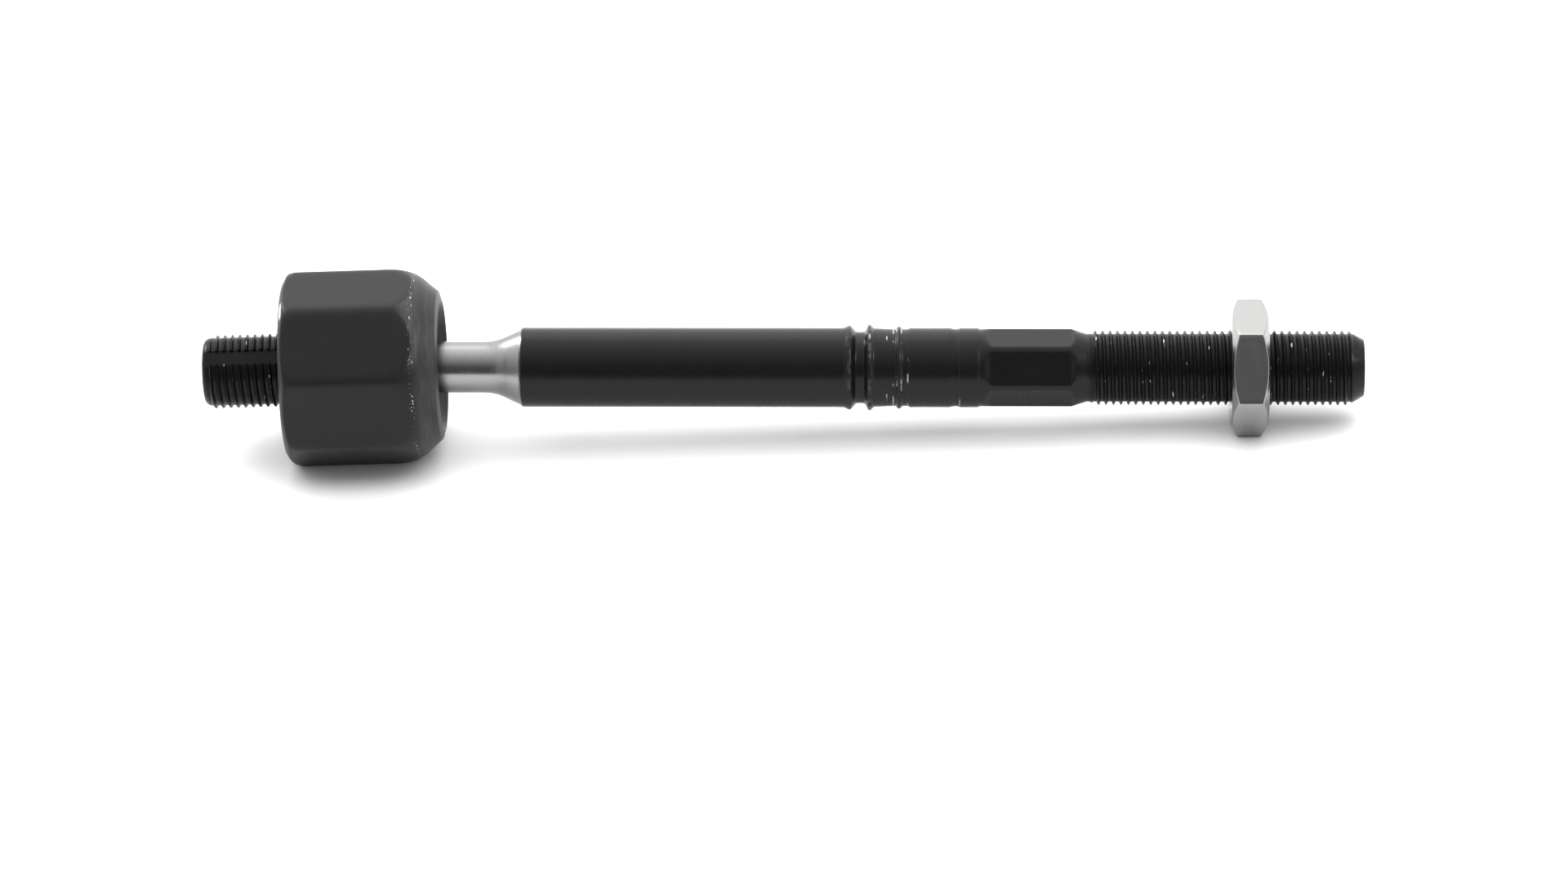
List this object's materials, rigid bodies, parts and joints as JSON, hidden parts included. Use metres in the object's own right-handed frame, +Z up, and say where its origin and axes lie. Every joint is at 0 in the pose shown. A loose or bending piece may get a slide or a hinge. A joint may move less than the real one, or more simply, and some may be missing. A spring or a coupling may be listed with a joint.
{
  "type": "inner tie rod",
  "caption": "Steering rack tie rod: axial ball joint with threaded rack stud, long rod with boot grooves, wrench hexagon, threaded end and lock nut.",
  "frame": {"origin": "centre of the flat shoulder of the housing that seats on the steering rack's end", "axes": "+X along the rack stud and housing axis, from the rack towards the rod; +Z up as the piece lies on a housing flat and a nut flat; the rod droops 2.08 degrees in that rest pose"},
  "size_m": [0.2332, 0.037, 0.037],
  "materials": {
    "housing_coating": "satin black phosphate and paint on forged steel, scuffed on the rolled shoulder",
    "rod_coating": "satin black coating on forged steel, bare bright neck",
    "zinc": "bright zinc plate",
    "seat_plastic": "moulded acetal, natural white",
    "spring_steel": "blued spring steel",
    "grease": "amber lithium grease"
  },
  "bodies": {
    "housing": {"socket_housing": "housing_coating", "preload_spring": "spring_steel"},
    "ball_seats": {"rear_seat": "seat_plastic", "front_seat": "seat_plastic"},
    "tilting_grease": {"grease_charge": "grease"},
    "rod": {"tie_rod": "rod_coating"},
    "nut": {"lock_nut": "zinc"}
  },
  "joints": [
    {"name": "seat_turn", "type": "hinge", "parent": "housing", "child": "ball_seats", "pos_m": [0.018, 0, 0], "axis": [1, 0, 0], "continuous": true},
    {"name": "ball_tilt", "type": "hinge", "parent": "ball_seats", "child": "tilting_grease", "pos_m": [0.018, 0, 0], "axis": [0, 1, 0], "range_deg": [-26.08, 21.92]},
    {"name": "rod_twist", "type": "hinge", "parent": "tilting_grease", "child": "rod", "pos_m": [0.018, 0, 0], "axis": [0.9993, 0, -0.0363], "continuous": true},
    {"name": "nut_travel", "type": "slide", "parent": "rod", "child": "nut", "axis": [0.9993, 0, -0.0363], "range_m": [-0.027, 0.0165]}
  ]
}
